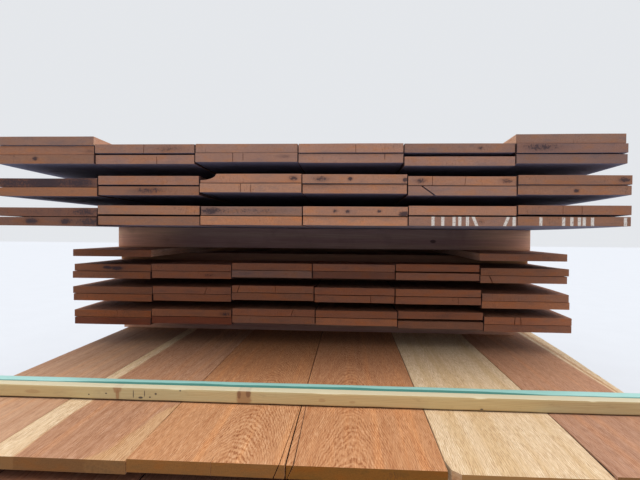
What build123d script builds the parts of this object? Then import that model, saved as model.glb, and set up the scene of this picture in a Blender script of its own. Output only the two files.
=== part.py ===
from build123d import *
import os

# A stack of wide sawn hardwood boards, laid out in layers with sticks between them, in three parts that stand
# one on another: a strapped bottom pack, a lower group and an upper group, each group on its own bearers.
# +Y runs along the boards, away from the front ends, +X is to the right and +Z is up.
# The origin is on the floor, under the middle of the bottom pack and of the box round the whole stack.
# Boards that lie on each other are separate pieces, and those side by side share a piece, with open joints.

# Sawn boards
BOARD_THICKNESS = 26.0
BOARD_WIDTH = 300.0
PACK_BOARD_WIDTH = 291.0
BOARD_COUNT = 6
BOARD_JOINT = 2.0
BOARD_ARRIS = 1.2

# Lengths, and how far each group's front ends stand behind those of the bottom pack
PACK_LENGTH = 4200.0
LOWER_LENGTH = 3000.0
UPPER_LENGTH = 3600.0
LOWER_SETBACK = 862.0
UPPER_SETBACK = 484.0

# How far the middles of the groups and of the first bearers on the pack stand to the right of the origin
GROUP_SHIFT = -16.5
LOWER_BEARER_SHIFT = -34.5

# Bearers: the squared timbers that carry the pack and the two groups
BEARER_WIDTH = 90.0
GROUND_BEARER_HEIGHT = 90.0
LOWER_BEARER_HEIGHT = 86.0
LOWER_BEARER_SHORTFALL = 90.0
UPPER_BEARER_HEIGHT = 87.0
BEARER_ARRIS = 2.0
GROUP_LINES = 3
FRONT_BATTEN_TO_BEARER = 844.0
REAR_BATTEN_TO_BEARER = 320.0
REAR_LINE_INSET = 397.0
PACK_LINES = 4
PACK_LINE_INSET = 440.0

# Layers, each of lower and upper boards
PACK_LAYERS = 6
GROUP_LAYERS = 3

# Sticks between the layers
STICK_WIDTH = 33.0
PACK_STICK = 33.0
LOWER_STICK = 31.0
UPPER_STICK = 33.0
STICK_ARRIS = 0.8

# Batten and strap across the bottom pack, near each end
BATTEN_INSET = 300.0
BATTEN_WIDTH = 70.0
BATTEN_HEIGHT = 34.0
BATTEN_ARRIS = 2.0
STRAP_WIDTH = 38.0
STRAP_THICKNESS = 1.0
STRAP_BEND = 3.0
STRAP_CLEARANCE = 0.3
STRAP_OFFSET = 14.0

# Flaws that show: the natural edge along the right side of the top course, the broken corner of its fifth
# board, and the wane scooped out of one upper board's front corner
WANE_WIDTH = 36.0
WANE_DEPTH = 14.0
WANE_FLARES = (-15.0, -2.0, 34.0, 49.0, 45.5, 35.0, 12.0, -5.0, -10.0, -10.0)
CHIPPED_BOARD_INDEX = 4
CHIP_WIDTH = 22.0
CHIP_LENGTH = 55.0
CHIP_HOLLOW = 0.3
SCOOPED_LAYER_INDEX = 1
SCOOPED_BOARD_INDEX = 2
SCOOP_WIDTH = 46.0
SCOOP_DEPTH = 18.0
SCOOP_RUN = 420.0
SCOOP_TAIL = 0.2

# Heights of the undersides, from the floor up
PACK_UNDERSIDE = GROUND_BEARER_HEIGHT
PACK_STEP = 2 * BOARD_THICKNESS + PACK_STICK
TOP_COURSE = PACK_UNDERSIDE + PACK_LAYERS * PACK_STEP
PACK_TOP = TOP_COURSE + BOARD_THICKNESS
LOWER_UNDERSIDE = PACK_TOP + LOWER_BEARER_HEIGHT
LOWER_STEP = 2 * BOARD_THICKNESS + LOWER_STICK
LOWER_SIDES = LOWER_UNDERSIDE + GROUP_LAYERS * LOWER_STEP
UPPER_BEARER_UNDERSIDE = LOWER_SIDES + BOARD_THICKNESS
UPPER_UNDERSIDE = UPPER_BEARER_UNDERSIDE + UPPER_BEARER_HEIGHT
UPPER_STEP = 2 * BOARD_THICKNESS + UPPER_STICK
UPPER_SIDES = UPPER_UNDERSIDE + GROUP_LAYERS * UPPER_STEP - UPPER_STICK

# Places along Y
PACK_FRONT = -PACK_LENGTH / 2
LOWER_FRONT = PACK_FRONT + LOWER_SETBACK
UPPER_FRONT = PACK_FRONT + UPPER_SETBACK
BATTEN_LINE = PACK_LENGTH / 2 - BATTEN_INSET - BATTEN_WIDTH / 2
BATTEN_TO_LINE = (BATTEN_WIDTH + BEARER_WIDTH) / 2
GROUP_FIRST_LINE = -BATTEN_LINE + BATTEN_TO_LINE + FRONT_BATTEN_TO_BEARER
GROUP_LAST_LINE = min(
    LOWER_FRONT + LOWER_LENGTH - REAR_LINE_INSET,
    BATTEN_LINE - BATTEN_TO_LINE - REAR_BATTEN_TO_BEARER,
)
GROUP_LINE_PITCH = (GROUP_LAST_LINE - GROUP_FIRST_LINE) / (GROUP_LINES - 1)
PACK_LINE_PITCH = (PACK_LENGTH - 2 * PACK_LINE_INSET) / (PACK_LINES - 1)
GROUP_WIDTH = BOARD_WIDTH * BOARD_COUNT
PACK_WIDTH = PACK_BOARD_WIDTH * BOARD_COUNT

# How far each joint of a course strays from the even pitch, from the left side to the right, and how far the
# front end of each board stands back, both left to the hand that laid them
EVEN = (0,) * (BOARD_COUNT + 1)
TOP_COURSE_STRAY = (0, -10, -11, 2, 11, 15, 0)
LOWER_STRAYS = (
    ((5, -1, 3, 11, 9, 13, 19), (2, -1, 3, 11, 9, 13, 19)),
    ((0, 3, 1, 6, -1, 5, 11), (-4, 3, 1, 6, -1, 5, 7)),
    ((-4, -2, 1, -1, -1, -2, 2), (2, -2, 1, -1, -1, -2, 7)),
)
LOWER_SIDE_STRAY = (-3, 0, 0, 0, 0, -4, 2)
UPPER_STRAYS = (
    (-7, -4, 2, -1, -2, -3, 2),
    (-7, -3, 0, -3, -5, -4, 3),
    (-7, -12, -14, -15, -16, -9, -9),
)
UPPER_SIDE_STRAY = (-7, -12, 0, 0, 0, -10, -13)
FRONT_SETBACKS = (0, 4, 1, 5, 2, 3)

# How far the free front end of each board springs up from the straight, or hangs down, for the lower and the
# upper boards of each layer from the bottom one up
FLAT = (0,) * BOARD_COUNT
TOP_COURSE_LIFTS = (-8, -6, -1, -3, -6)
LOWER_LIFTS = (
    ((-5, 2, 10, 8, 2, -4), (-4, 4, 11, 10, 11, -3)),
    ((0, 4, 12, 8, 7, -4), (1, 5, 13, 10, 9, -3)),
    ((1, 5, 12, 12, 11, 4), (2, 6, 13, 13, 16, 5)),
)
LOWER_SIDE_LIFTS = (0, 0)
UPPER_LIFTS = (
    ((-4, 0, 2, 3, 4, 6), (-2, 5, 4, 5, 8, 11)),
    ((-2, 2, 11, 9, 4, 7), (-1, 6, 13, 11, 6, 9)),
    ((8, 8, 13, 11, 2, 8), (9, 13, 14, 13, 13, 11)),
)
UPPER_SIDE_LIFTS = (10, 12)


def edges_of(pitch, centre, strays):
    """The X of each side and joint of a course, from the left side to the right."""
    left = centre - pitch * BOARD_COUNT / 2
    return [left + pitch * place + stray for place, stray in enumerate(strays)]


def course(spans, underside, front, length, bend_line, lifts, setbacks):
    """Boards side by side on one level, each drawn along its own length.

    A board is straight from its rear end to the bend line, and from there an arc brings its front end up by
    its lift, or by a little less where it stands back. All four long arrises are eased.
    """
    with BuildPart() as boards:
        for (left, right), lift, setback in zip(spans, lifts, setbacks):
            across = (left + right) / 2
            level = underside + BOARD_THICKNESS / 2
            rise = lift * ((bend_line - front - setback) / (bend_line - front)) ** 2
            with BuildLine():
                run = Line((across, front + length - setback, level), (across, bend_line, level))
                if lift:
                    TangentArc(run @ 1, (across, front + setback, level + rise), tangent=run % 1)
                else:
                    Line(run @ 1, (across, front + setback, level))
            with BuildSketch(Plane(origin=run @ 0, x_dir=(1, 0, 0), z_dir=run % 0)) as section:
                Rectangle(right - left - BOARD_JOINT, BOARD_THICKNESS)
                chamfer(section.vertices(), BOARD_ARRIS)
            sweep()
    return boards.part


def chipped_course(spans):
    """The pack's first five top boards, with the front left corner of the last one broken off."""
    with BuildPart() as boards:
        add(course(spans, TOP_COURSE, PACK_FRONT, PACK_LENGTH, pack_bend, TOP_COURSE_LIFTS, FRONT_SETBACKS))
        corner_x = spans[CHIPPED_BOARD_INDEX][0] + BOARD_JOINT / 2
        corner_y = PACK_FRONT + FRONT_SETBACKS[CHIPPED_BOARD_INDEX]
        with BuildSketch(Plane.XY.offset(TOP_COURSE)):
            with BuildLine():
                Polyline(
                    (corner_x - BOARD_JOINT, corner_y - CHIP_LENGTH),
                    (corner_x + CHIP_WIDTH, corner_y - CHIP_LENGTH),
                    (corner_x + CHIP_WIDTH, corner_y),
                    (corner_x + CHIP_WIDTH * CHIP_HOLLOW, corner_y + CHIP_LENGTH * CHIP_HOLLOW),
                    (corner_x, corner_y + CHIP_LENGTH),
                    (corner_x - BOARD_JOINT, corner_y + CHIP_LENGTH),
                    close=True,
                )
            make_face()
        extrude(amount=BOARD_THICKNESS, both=True, mode=Mode.SUBTRACT)
    return boards.part


def natural_edged_board(left, side, setback):
    """The top course's last board, whose right side is the log's own edge.

    Its plan follows the log's swelling, and from a straight line on top the upper face slopes down to it.
    """
    front = PACK_FRONT + setback
    pitch = (PACK_LENGTH - 2 * setback) / (len(WANE_FLARES) - 1)
    edge = [(side + flare, front + pitch * place) for place, flare in enumerate(WANE_FLARES)]
    rear = edge[-1][1]
    joint = left + BOARD_JOINT / 2
    with BuildPart() as board:
        with BuildSketch(Plane.XY.offset(TOP_COURSE)):
            with BuildLine():
                natural = Spline(*edge)
                Polyline(natural @ 1, (joint, rear), (joint, front), natural @ 0)
            make_face()
        extrude(amount=BOARD_THICKNESS)
        chamfer(board.edges().filter_by(Axis.Y).group_by(Axis.X)[0], BOARD_ARRIS)
        for edge_x, edge_y in edge:
            with BuildSketch(Plane(origin=(0, edge_y, 0), x_dir=(1, 0, 0), z_dir=(0, -1, 0))):
                with BuildLine():
                    Polyline(
                        (side - WANE_WIDTH, PACK_TOP),
                        (edge_x, PACK_TOP - WANE_DEPTH),
                        (edge_x + WANE_WIDTH, PACK_TOP - WANE_DEPTH),
                        (edge_x + WANE_WIDTH, PACK_TOP + WANE_DEPTH),
                        (side - WANE_WIDTH, PACK_TOP + WANE_DEPTH),
                        close=True,
                    )
                make_face()
        loft(mode=Mode.SUBTRACT)
    return board.part


def scooped_course(boards, corner, run_back):
    """A course with wane scooped out of a front corner: a quarter of an oval that fades along the board."""
    with BuildPart() as scooped:
        add(boards)
        with BuildSketch(Plane(origin=corner, x_dir=(1, 0, 0), z_dir=(0, -1, 0))):
            Ellipse(SCOOP_WIDTH, SCOOP_DEPTH)
        with BuildSketch(Plane(origin=run_back, x_dir=(1, 0, 0), z_dir=(0, -1, 0))):
            Ellipse(SCOOP_WIDTH * SCOOP_TAIL, SCOOP_DEPTH * SCOOP_TAIL)
        loft(mode=Mode.SUBTRACT)
    return scooped.part


def neighbours(edges):
    """The left and right edge of each board of a full course."""
    return list(zip(edges, edges[1:]))


def sides_only(edges):
    """The left and right edge of the first and the last board alone."""
    return [neighbours(edges)[0], neighbours(edges)[-1]]


def crossers(levels, lines, width, height, length, centre, arris):
    """Sticks or bearers lying across the boards, one on every line at every level."""
    with BuildPart() as pieces:
        for level in levels:
            for line in lines:
                start = Plane(origin=(centre - length / 2, line, level), x_dir=(0, 1, 0), z_dir=(1, 0, 0))
                with BuildSketch(start) as end:
                    Rectangle(width, height, align=(Align.CENTER, Align.MIN))
                    chamfer(end.vertices(), arris)
                extrude(amount=length)
    return pieces.part


def batten(line):
    """A squared batten across the pack's top, as long as the pack is wide, its ends worn by the strap."""
    with BuildPart() as piece:
        start = Plane(origin=(-PACK_WIDTH / 2, line, PACK_TOP), x_dir=(0, 1, 0), z_dir=(1, 0, 0))
        with BuildSketch(start) as end:
            Rectangle(BATTEN_WIDTH, BATTEN_HEIGHT, align=(Align.CENTER, Align.MIN))
            chamfer(end.vertices(), BATTEN_ARRIS)
        extrude(amount=PACK_WIDTH)
        chamfer(piece.edges().filter_by(Axis.Y).group_by(Axis.Z)[-1], STRAP_BEND)
    return piece.part


def strap(line):
    """A flat band round the pack and its batten, with its corners bent over the edges."""
    inner_width = PACK_WIDTH + 2 * STRAP_CLEARANCE
    inner_bottom = PACK_UNDERSIDE - STRAP_CLEARANCE
    inner_height = PACK_TOP + BATTEN_HEIGHT - inner_bottom
    middle = (0, line, inner_bottom + inner_height / 2)
    with BuildPart() as band:
        with BuildSketch(Plane(origin=middle, x_dir=(1, 0, 0), z_dir=(0, -1, 0))):
            RectangleRounded(
                inner_width + 2 * STRAP_THICKNESS,
                inner_height + 2 * STRAP_THICKNESS,
                STRAP_BEND + STRAP_THICKNESS,
            )
            RectangleRounded(inner_width, inner_height, STRAP_BEND, mode=Mode.SUBTRACT)
        extrude(amount=STRAP_WIDTH / 2, both=True)
    return band.part


def layer_levels(bottom, step, count, stick):
    """The underside of the stick level that lies on each of the layers."""
    return [bottom + step * (place + 1) - stick for place in range(count)]


def write(part, name):
    """Labels a finished piece and writes it to its own file."""
    part.label = name
    export_step(part, "parts/" + name + ".step")


os.makedirs("parts", exist_ok=True)

pack_lines = [PACK_FRONT + PACK_LINE_INSET + PACK_LINE_PITCH * place for place in range(PACK_LINES)]
group_lines = [GROUP_FIRST_LINE + GROUP_LINE_PITCH * place for place in range(GROUP_LINES)]
pack_bend = pack_lines[0] - BEARER_WIDTH / 2
group_bend = group_lines[0] - BEARER_WIDTH / 2
pack_stick_levels = layer_levels(PACK_UNDERSIDE, PACK_STEP, PACK_LAYERS, PACK_STICK)
lower_stick_levels = layer_levels(LOWER_UNDERSIDE, LOWER_STEP, GROUP_LAYERS, LOWER_STICK)
upper_stick_levels = layer_levels(UPPER_UNDERSIDE, UPPER_STEP, GROUP_LAYERS - 1, UPPER_STICK)

# Bottom pack
write(
    crossers([0], pack_lines, BEARER_WIDTH, GROUND_BEARER_HEIGHT, PACK_WIDTH, 0, BEARER_ARRIS),
    "ground_bearers",
)
pack_spans = neighbours(edges_of(PACK_BOARD_WIDTH, 0, EVEN))
for place in range(PACK_LAYERS):
    for half, word in enumerate(("lower", "upper")):
        level = PACK_UNDERSIDE + place * PACK_STEP + half * BOARD_THICKNESS
        setbacks = FRONT_SETBACKS[:: 1 - 2 * half]
        write(
            course(pack_spans, level, PACK_FRONT, PACK_LENGTH, pack_bend, FLAT, setbacks),
            f"pack_layer_{place + 1}_{word}_boards",
        )
for place, line in enumerate(pack_lines):
    write(
        crossers(pack_stick_levels, [line], STICK_WIDTH, PACK_STICK, PACK_WIDTH, 0, STICK_ARRIS),
        f"pack_sticks_{place + 1}",
    )
top_spans = neighbours(edges_of(PACK_BOARD_WIDTH, 0, TOP_COURSE_STRAY))
with BuildPart() as top_course:
    add(chipped_course(top_spans[:-1]))
    add(natural_edged_board(*top_spans[-1], FRONT_SETBACKS[-1]))
write(top_course.part, "pack_top_boards")
for side, word in ((-1, "front"), (1, "rear")):
    line = side * BATTEN_LINE
    write(batten(line), word + "_batten")
    write(strap(line - side * STRAP_OFFSET), word + "_strap")

# Lower group
write(
    crossers(
        [PACK_TOP],
        group_lines,
        BEARER_WIDTH,
        LOWER_BEARER_HEIGHT,
        GROUP_WIDTH - LOWER_BEARER_SHORTFALL,
        LOWER_BEARER_SHIFT,
        BEARER_ARRIS,
    ),
    "lower_bearers",
)
for place, (layer_strays, layer_lifts) in enumerate(zip(LOWER_STRAYS, LOWER_LIFTS)):
    for half, word in enumerate(("lower", "upper")):
        spans = neighbours(edges_of(BOARD_WIDTH, GROUP_SHIFT, layer_strays[half]))
        level = LOWER_UNDERSIDE + place * LOWER_STEP + half * BOARD_THICKNESS
        setbacks = FRONT_SETBACKS[:: 1 - 2 * half]
        write(
            course(spans, level, LOWER_FRONT, LOWER_LENGTH, group_bend, layer_lifts[half], setbacks),
            f"lower_layer_{place + 1}_{word}_boards",
        )
for place, line in enumerate(group_lines):
    write(
        crossers(lower_stick_levels, [line], STICK_WIDTH, LOWER_STICK, GROUP_WIDTH, GROUP_SHIFT, STICK_ARRIS),
        f"lower_sticks_{place + 1}",
    )
lower_side_spans = sides_only(edges_of(BOARD_WIDTH, GROUP_SHIFT, LOWER_SIDE_STRAY))
write(
    course(
        lower_side_spans, LOWER_SIDES, LOWER_FRONT, LOWER_LENGTH, group_bend, LOWER_SIDE_LIFTS, FRONT_SETBACKS
    ),
    "lower_side_boards",
)

# Upper group
write(
    crossers(
        [UPPER_BEARER_UNDERSIDE],
        group_lines,
        BEARER_WIDTH,
        UPPER_BEARER_HEIGHT,
        GROUP_WIDTH,
        GROUP_SHIFT,
        BEARER_ARRIS,
    ),
    "upper_bearers",
)
for place, (strays, layer_lifts) in enumerate(zip(UPPER_STRAYS, UPPER_LIFTS)):
    for half, word in enumerate(("lower", "upper")):
        spans = neighbours(edges_of(BOARD_WIDTH, GROUP_SHIFT, strays))
        level = UPPER_UNDERSIDE + place * UPPER_STEP + half * BOARD_THICKNESS
        setbacks = FRONT_SETBACKS[:: 1 - 2 * half]
        boards = course(spans, level, UPPER_FRONT, UPPER_LENGTH, group_bend, layer_lifts[half], setbacks)
        if place == SCOOPED_LAYER_INDEX and word == "upper":
            left = spans[SCOOPED_BOARD_INDEX][0]
            top = level + BOARD_THICKNESS + layer_lifts[half][SCOOPED_BOARD_INDEX]
            boards = scooped_course(
                boards, (left, UPPER_FRONT, top), (left, UPPER_FRONT + SCOOP_RUN, level + BOARD_THICKNESS)
            )
        write(boards, f"upper_layer_{place + 1}_{word}_boards")
for place, line in enumerate(group_lines):
    write(
        crossers(upper_stick_levels, [line], STICK_WIDTH, UPPER_STICK, GROUP_WIDTH, GROUP_SHIFT, STICK_ARRIS),
        f"upper_sticks_{place + 1}",
    )
upper_side_spans = sides_only(edges_of(BOARD_WIDTH, GROUP_SHIFT, UPPER_SIDE_STRAY))
write(
    course(
        upper_side_spans, UPPER_SIDES, UPPER_FRONT, UPPER_LENGTH, group_bend, UPPER_SIDE_LIFTS, FRONT_SETBACKS
    ),
    "upper_side_boards",
)
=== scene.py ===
"""A stack of sawn hardwood boards on sticks and bearers, with a softwood batten strapped across its pack.

Each course of boards is a skin of its own over the course of the solid model, read from the frame, so every
board keeps the place, length, width, thickness and spring of its solid. All lengths are in metres.
"""
import math

import bpy
import numpy as np
from mathutils import Matrix, Vector


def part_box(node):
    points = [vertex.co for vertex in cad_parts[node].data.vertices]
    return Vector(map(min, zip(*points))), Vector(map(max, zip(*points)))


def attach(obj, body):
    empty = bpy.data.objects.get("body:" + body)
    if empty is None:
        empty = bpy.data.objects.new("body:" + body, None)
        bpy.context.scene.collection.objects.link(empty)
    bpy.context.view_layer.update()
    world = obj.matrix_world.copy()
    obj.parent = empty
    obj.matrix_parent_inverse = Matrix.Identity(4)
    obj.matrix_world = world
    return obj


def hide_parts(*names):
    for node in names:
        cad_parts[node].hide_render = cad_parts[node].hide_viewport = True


bl_info = {
    "name": "Sawn board stack",
    "version": (1, 0, 0),
    "blender": (4, 5, 0),
    "location": "3D View > Sidebar > Stack",
    "description": "Sawn boards, sticks, bearers, batten and strap around the packed frame",
    "category": "Object",
}

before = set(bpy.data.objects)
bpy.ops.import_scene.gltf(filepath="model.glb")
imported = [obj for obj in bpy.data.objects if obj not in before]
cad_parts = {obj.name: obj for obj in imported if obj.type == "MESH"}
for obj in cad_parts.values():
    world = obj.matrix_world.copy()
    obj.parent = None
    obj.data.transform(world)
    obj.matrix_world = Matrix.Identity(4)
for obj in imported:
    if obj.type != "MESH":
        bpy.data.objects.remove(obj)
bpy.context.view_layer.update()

MM = 0.001
BODY = "root"
# The lines in front of which the boards of the groups and of the pack spring up.
GROUP_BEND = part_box("upper_bearers")[0].y
PACK_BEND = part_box("ground_bearers")[0].y
# The width of the strip along the natural edge, the least gap between two solids of one node, and the digits
# that are kept of a place across a board.
NATURAL_EDGE = 36 * MM
APART = 0.5 * MM
PLACE_DIGITS = 6
# The reach of the slow waves in a sawn face, and how far in from an end its skew, a chip and a blot run. The
# tint of the faces starts to change at the far run, and is the far one at twice that: a painted shade on
# three boards of the top course and a painted light on the last, for the faces that lie far in under the
# groups.
FACE_WAVE = 0.3 * MM
SKEW_RUN = 0.3
CHIP_RUN = 0.2
BLOT_RUN = 0.15
FAR_SHADE_RUN = 0.3
# How squarely a face looks along an axis: from not at all to fully.
FACING = (0.6, 0.8)
# The widths of the growth rings.
HARDWOOD_RING = 3.3 * MM
PINE_RING = 0.0036
# The course whose ends carry painted strokes, and the board with a scooped corner.
TALLIED = "upper_layer_1_lower_boards"
SCOOPED = ("upper_layer_2_upper_boards", 2)
# The first seed of the random draws for each kind of piece.
SEEDS = {
    "upper": 100, "lower": 200, "top": 300, "pack": 400, "bearers": 500, "sticks": 600, "battens": 700,
    "straps": 800,
}


# Settings


class BoardSettings(bpy.types.PropertyGroup):
    """Colours and wear of the sawn boards."""

    upper_end: bpy.props.FloatVectorProperty(
        name="Upper board ends", description="Colour of the upper group's sawn ends", subtype="COLOR",
        default=(0.352, 0.175, 0.110), min=0, max=1,
    )
    # Painted shade in part: besides the wood's own colour, this is set darker than the upper ends for the
    # shade that the upper group's overhang casts on the lower group's ends.
    lower_end_with_shade: bpy.props.FloatVectorProperty(
        name="Lower board ends", description="Colour of the lower group's sawn ends", subtype="COLOR",
        default=(0.302, 0.122, 0.064), min=0, max=1,
    )
    pack_end: bpy.props.FloatVectorProperty(
        name="Pack board ends", description="Colour of the bottom pack's sawn ends", subtype="COLOR",
        default=(0.30, 0.125, 0.04), min=0, max=1,
    )
    heart: bpy.props.FloatVectorProperty(
        name="Heartwood", description="Colour of the boards' faces", subtype="COLOR",
        default=(0.37, 0.16, 0.085), min=0, max=1,
    )
    sapwood: bpy.props.FloatVectorProperty(
        name="Sapwood", description="Colour of the pale outer wood", subtype="COLOR",
        default=(0.72, 0.52, 0.31), min=0, max=1,
    )
    transition: bpy.props.FloatVectorProperty(
        name="Transition wood", description="Colour of the golden wood beside the sapwood", subtype="COLOR",
        default=(0.59, 0.345, 0.175), min=0, max=1,
    )
    # Painted shade: the boards' undersides are mixed over to this dark blue-grey, which stands in for the
    # shade under them.
    under: bpy.props.FloatVectorProperty(
        name="Undersides", description="Colour that dust and shade give the boards' undersides",
        subtype="COLOR", default=(0.19, 0.23, 0.34), min=0, max=1,
    )
    edge_wander: bpy.props.FloatProperty(
        name="Edge wander", description="How far a sawn edge strays inwards", default=0.9 * MM,
        min=0, max=2 * MM, unit="LENGTH",
    )
    end_skew: bpy.props.FloatProperty(
        name="End skew", description="How far out of square an end is cut", default=1.6 * MM,
        min=0, max=3 * MM, unit="LENGTH",
    )
    arris: bpy.props.FloatProperty(
        name="Arris", description="How far the long edges are eased", default=1.1 * MM,
        min=0, max=3 * MM, unit="LENGTH",
    )


class TimberSettings(bpy.types.PropertyGroup):
    """Colours of the bearers, sticks and battens."""

    bearer: bpy.props.FloatVectorProperty(
        name="Bearers", description="Colour of the cross bearers", subtype="COLOR",
        default=(0.56, 0.34, 0.25), min=0, max=1,
    )
    stick: bpy.props.FloatVectorProperty(
        name="Sticks", description="Colour of the sticks between the layers", subtype="COLOR",
        default=(0.34, 0.17, 0.09), min=0, max=1,
    )
    pine: bpy.props.FloatVectorProperty(
        name="Pine", description="Colour of the battens", subtype="COLOR",
        default=(0.52, 0.43, 0.225), min=0, max=1,
    )
    # Painted highlight: the battens' upward faces are mixed over to this paler colour, for the sky light on
    # them.
    pine_top_painted_light: bpy.props.FloatVectorProperty(
        name="Pine top", description="Colour of the battens' upper faces", subtype="COLOR",
        default=(0.74, 0.66, 0.45), min=0, max=1,
    )
    knot: bpy.props.FloatVectorProperty(
        name="Knots", description="Colour of the knots in the battens", subtype="COLOR",
        default=(0.17, 0.075, 0.035), min=0, max=1,
    )


class StrapSettings(bpy.types.PropertyGroup):
    """Colours of the plastic straps."""

    deep: bpy.props.FloatVectorProperty(
        name="Strap", description="Colour of the strap", subtype="COLOR",
        default=(0.075, 0.255, 0.205), min=0, max=1,
    )
    # Painted sheen: the strap's rear half and its ends are mixed over to this pale colour, which stands in
    # for a sheen.
    pale: bpy.props.FloatVectorProperty(
        name="Strap sheen", description="Colour of the strap's paler rear half", subtype="COLOR",
        default=(0.35, 0.64, 0.55), min=0, max=1,
    )


class StageSettings(bpy.types.PropertyGroup):
    """Camera, light and floor."""

    eye: bpy.props.FloatVectorProperty(
        name="Camera place", description="Where the camera stands", subtype="XYZ",
        default=(0.1185, -2.976, 1.056), unit="LENGTH",
    )
    lens: bpy.props.FloatProperty(
        name="Lens", description="Focal length on a 36 mm wide sensor, in millimetres", default=27.0,
    )
    yaw: bpy.props.FloatProperty(
        name="Yaw", description="How far the camera is turned left of the boards' run",
        default=math.radians(3.576), subtype="ANGLE",
    )
    pitch: bpy.props.FloatProperty(
        name="Pitch", description="How far the camera looks down", default=math.radians(0.865),
        subtype="ANGLE",
    )
    roll: bpy.props.FloatProperty(
        name="Roll", description="How far the horizon falls to the right", default=math.radians(0.47),
        subtype="ANGLE",
    )
    sky: bpy.props.FloatProperty(
        name="Sky", description="Strength of the overcast sky", default=0.95, min=0,
    )
    sun: bpy.props.FloatProperty(
        name="Soft sun", description="Strength of the light through the cloud", default=1.05, min=0,
    )
    floor: bpy.props.FloatVectorProperty(
        name="Floor", description="Colour of the floor as the camera sees it", subtype="COLOR",
        default=(0.62, 0.63, 0.64), min=0, max=1,
    )


# Mesh work


def lattice(counts):
    """Skin of a box of lattice points: the places (i, j, k) on the outside, and the quads that close it.

    Each of the six sides is a grid in two of the three indices, and sides share the points of their edges.
    In each grid the first index crossed with the second points outwards.
    """
    outside = np.ones(counts, bool)
    outside[1:-1, 1:-1, 1:-1] = False
    number = np.full(counts, -1)
    number[outside] = np.arange(outside.sum())
    grids = (
        number[:, :, -1], number[:, :, 0].T, number[:, 0, :], number[:, -1, :].T, number[0].T, number[-1],
    )
    quads = [
        np.stack((g[:-1, :-1], g[1:, :-1], g[1:, 1:], g[:-1, 1:]), axis=-1).reshape(-1, 4) for g in grids
    ]
    return np.argwhere(outside).T, np.concatenate(quads)


def inward(index, count):
    """One at the first of so many steps, minus one at the last and nothing between."""
    return (index == 0) * 1.0 - (index == count - 1) * 1.0


def fading(along, run):
    """One at the start, falling evenly to nothing at the end of a run."""
    return np.clip(1 - along / run, 0, 1)


def drift(t, rng, reach, waves):
    """A slow wave along t: a sum of sines with random phases, between minus reach and reach."""
    total = np.zeros_like(t)
    for wave in waves:
        total += np.sin(2 * np.pi * (wave * t + rng.random()))
    return reach * total / len(waves)


LAYERS = (
    ("log", "FLOAT_VECTOR"), ("face_tint", "FLOAT_COLOR"), ("end_tint", "FLOAT_COLOR"),
    ("marks", "FLOAT_VECTOR"), ("growth", "FLOAT_VECTOR"),
)


def add_piece(name, skins, material, replaced):
    """One object from a list of skins (points, quads, layers), riding on the body in place of its nodes."""
    starts = np.cumsum([0] + [len(skin["points"]) for skin in skins])
    points = np.concatenate([skin["points"] for skin in skins])
    quads = np.concatenate([skin["quads"] + start for skin, start in zip(skins, starts)])
    mesh = bpy.data.meshes.new(name)
    mesh.from_pydata(points, [], quads)
    for key, kind in LAYERS:
        if key not in skins[0]:
            continue
        values = np.concatenate([skin[key] for skin in skins]).astype(np.float32)
        layer = mesh.attributes.new(key, kind, "POINT")
        layer.data.foreach_set("color" if kind == "FLOAT_COLOR" else "vector", values.ravel())
    mesh.shade_smooth()
    mesh.set_sharp_from_angle(angle=math.radians(32))
    mesh.materials.append(material)
    piece = bpy.data.objects.new(name, mesh)
    bpy.context.scene.collection.objects.link(piece)
    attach(piece, BODY)
    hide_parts(*replaced)


# Boards read from the frame


def node_points(node):
    """The points of a CAD node, three to a triangle, in the row frame."""
    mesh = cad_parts[node].data
    mesh.calc_loop_triangles()
    corners = np.empty(len(mesh.loop_triangles) * 3, np.int32)
    mesh.loop_triangles.foreach_get("vertices", corners)
    places = np.empty(len(mesh.vertices) * 3, np.float32)
    mesh.vertices.foreach_get("co", places)
    return places.reshape(-1, 3)[corners].reshape(-1, 3, 3).astype(float)


def islands(spans):
    """Groups of triangles whose spans along one axis overlap."""
    low, high = spans.min(1), spans.max(1)
    order = np.argsort(low)
    reach = np.maximum.accumulate(high[order])
    cuts = np.flatnonzero(low[order][1:] > reach[:-1] + APART) + 1
    return np.split(order, cuts)


def boards_of(node):
    """The boards of a course, from the left: sides, ends, rear underside, thickness and front lift.

    Triangles whose spans of X overlap belong to one board, because the joints between boards are open. A
    board with a natural edge has the line of its lower right edge as well, and its right side is taken to
    stand the width of that edge beyond its crest.
    """
    rear_zone, front_zone, under_zone, crest_zone, least_flare = 1 * MM, 25 * MM, 1 * MM, 0.5 * MM, 20 * MM
    triangles = node_points(node)
    boards = []
    for group in islands(triangles[:, :, 0]):
        points = triangles[group].reshape(-1, 3)
        x, y, z = points.T
        rear, front = points[y > y.max() - rear_zone], points[y < y.min() + front_zone]
        board = {
            "left": rear[:, 0].min(), "right": rear[:, 0].max(), "front": y.min(), "rear": y.max(),
            "under": rear[:, 2].min(), "thick": rear[:, 2].max() - rear[:, 2].min(),
            "lift": front[:, 2].min() - rear[:, 2].min(),
            "bend": PACK_BEND if node.startswith("pack_") else GROUP_BEND,
        }
        middle = (board["left"] + board["right"]) / 2
        edge = points[(z < board["under"] + under_zone) & (x > middle)]
        if np.ptp(edge[:, 0]) > least_flare:
            edge = edge[np.argsort(edge[:, 1])]
            crest = x[z > z.max() - crest_zone].max()
            board.update(right=crest + NATURAL_EDGE, edge=(edge[:, 1], edge[:, 0]))
        boards.append(board)
    return boards


def stations(length, count, dense):
    """Distances from the front end, close together at both ends: even shares less a sine of one turn."""
    t = np.linspace(0, 1, count)
    return (t - dense * np.sin(2 * np.pi * t) / (2 * np.pi)) * length


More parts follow.
